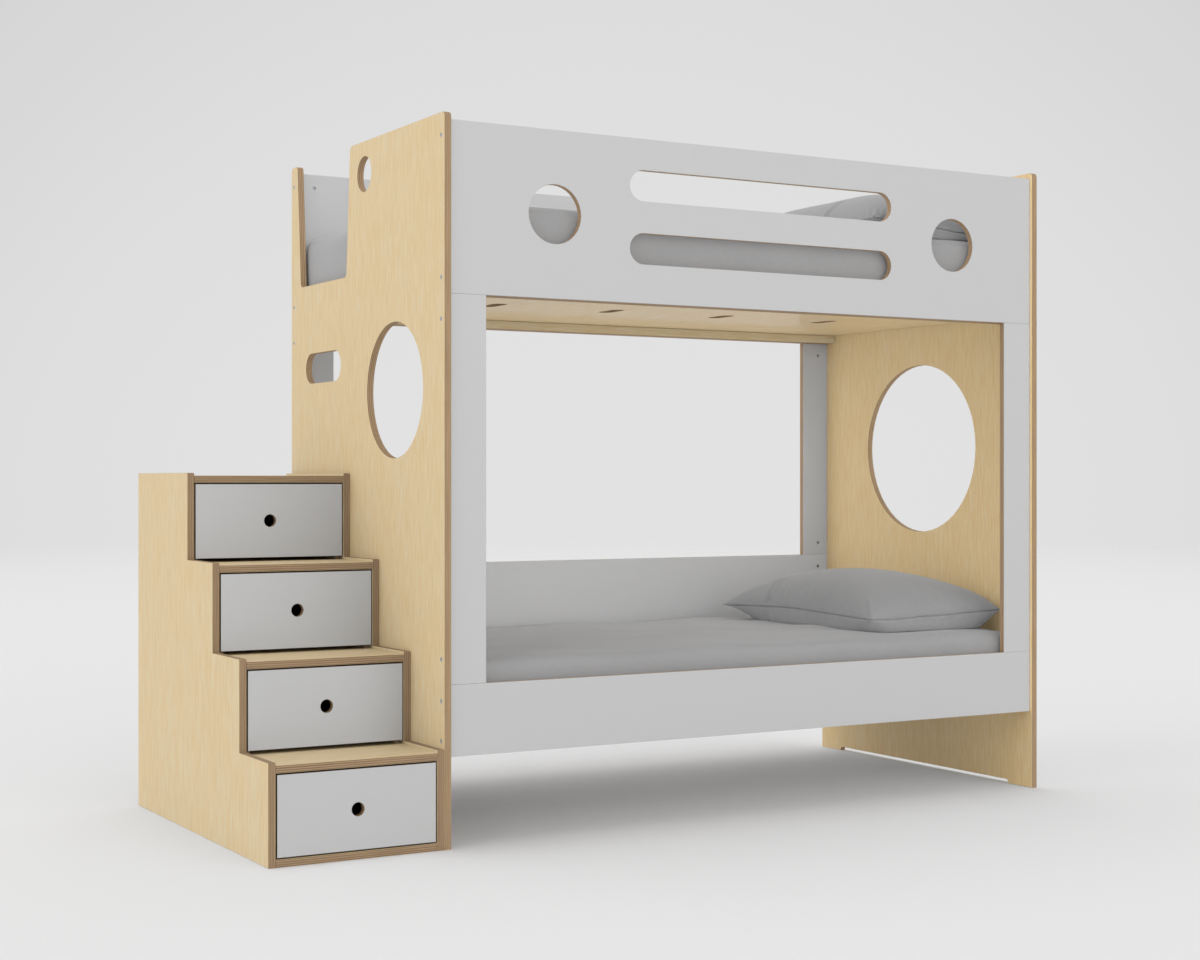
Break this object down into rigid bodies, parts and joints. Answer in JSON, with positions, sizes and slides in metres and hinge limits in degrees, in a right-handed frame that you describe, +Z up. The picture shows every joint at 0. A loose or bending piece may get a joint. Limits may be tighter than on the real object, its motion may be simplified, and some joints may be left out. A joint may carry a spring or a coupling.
{
  "type": "bunk bed with storage stair",
  "caption": "Plywood bunk bed with round windows and slotted guard rail, and a stair of drawers at its left end.",
  "frame": {"origin": "on the floor, under the middle of the box round bed and stair", "axes": "+X along the bed, away from the stair; +Y from the open front to the back; +Z up"},
  "size_m": [2.4212, 1.044, 1.84],
  "materials": {
    "maple_plywood": "light maple faces with fine straight grain and brown layered edges, clear satin varnish",
    "white_faced_plywood": "plywood faced with a smooth white-grey laminate, brown layered edges, satin",
    "drawer_box_plywood": "plain plywood, matt",
    "bed_linen": "plain woven cotton, mid grey, matt",
    "connector_steel": "zinc-plated steel, slightly bright"
  },
  "bodies": {
    "bed_and_stair": {"left_end_panel": "maple_plywood", "right_end_panel": "maple_plywood", "upper_front_ledger": "maple_plywood", "upper_back_ledger": "maple_plywood", "lower_front_ledger": "maple_plywood", "lower_back_ledger": "maple_plywood", "stair_outer_side": "maple_plywood", "stair_inner_side": "maple_plywood", "stair_base": "maple_plywood", "stair_back": "maple_plywood", "upper_deck_board_1": "maple_plywood", "upper_deck_board_2": "maple_plywood", "upper_deck_board_3": "maple_plywood", "upper_deck_board_4": "maple_plywood", "upper_deck_board_5": "maple_plywood", "lower_deck_board_1": "maple_plywood", "lower_deck_board_2": "maple_plywood", "lower_deck_board_3": "maple_plywood", "lower_deck_board_4": "maple_plywood", "lower_deck_board_5": "maple_plywood", "stair_tread_1": "maple_plywood", "stair_tread_2": "maple_plywood", "stair_tread_3": "maple_plywood", "stair_tread_4": "maple_plywood", "front_guard_rail": "white_faced_plywood", "front_bottom_rail": "white_faced_plywood", "back_guard_rail": "white_faced_plywood", "back_bottom_rail": "white_faced_plywood", "front_left_stile": "white_faced_plywood", "front_right_stile": "white_faced_plywood", "back_left_stile": "white_faced_plywood", "back_right_stile": "white_faced_plywood", "upper_mattress": "bed_linen", "lower_mattress": "bed_linen", "upper_pillow": "bed_linen", "lower_pillow": "bed_linen", "guard_rail_bolt_left": "connector_steel", "guard_rail_bolt_right": "connector_steel", "guard_rail_nut_left": "connector_steel", "guard_rail_nut_right": "connector_steel"},
    "drawer_1": {"drawer_1_front": "white_faced_plywood", "drawer_1_left_side": "drawer_box_plywood", "drawer_1_right_side": "drawer_box_plywood", "drawer_1_floor": "drawer_box_plywood", "drawer_1_back": "drawer_box_plywood"},
    "drawer_2": {"drawer_2_front": "white_faced_plywood", "drawer_2_left_side": "drawer_box_plywood", "drawer_2_right_side": "drawer_box_plywood", "drawer_2_floor": "drawer_box_plywood", "drawer_2_back": "drawer_box_plywood"},
    "drawer_3": {"drawer_3_front": "white_faced_plywood", "drawer_3_left_side": "drawer_box_plywood", "drawer_3_right_side": "drawer_box_plywood", "drawer_3_floor": "drawer_box_plywood", "drawer_3_back": "drawer_box_plywood"},
    "drawer_4": {"drawer_4_front": "white_faced_plywood", "drawer_4_left_side": "drawer_box_plywood", "drawer_4_right_side": "drawer_box_plywood", "drawer_4_floor": "drawer_box_plywood", "drawer_4_back": "drawer_box_plywood"}
  },
  "joints": [
    {"name": "drawer_1_slide", "type": "slide", "parent": "bed_and_stair", "child": "drawer_1", "axis": [0, -1, 0], "range_m": [0, 0.64]},
    {"name": "drawer_2_slide", "type": "slide", "parent": "bed_and_stair", "child": "drawer_2", "axis": [0, -1, 0], "range_m": [0, 0.51]},
    {"name": "drawer_3_slide", "type": "slide", "parent": "bed_and_stair", "child": "drawer_3", "axis": [0, -1, 0], "range_m": [0, 0.38]},
    {"name": "drawer_4_slide", "type": "slide", "parent": "bed_and_stair", "child": "drawer_4", "axis": [0, -1, 0], "range_m": [0, 0.25]}
  ]
}
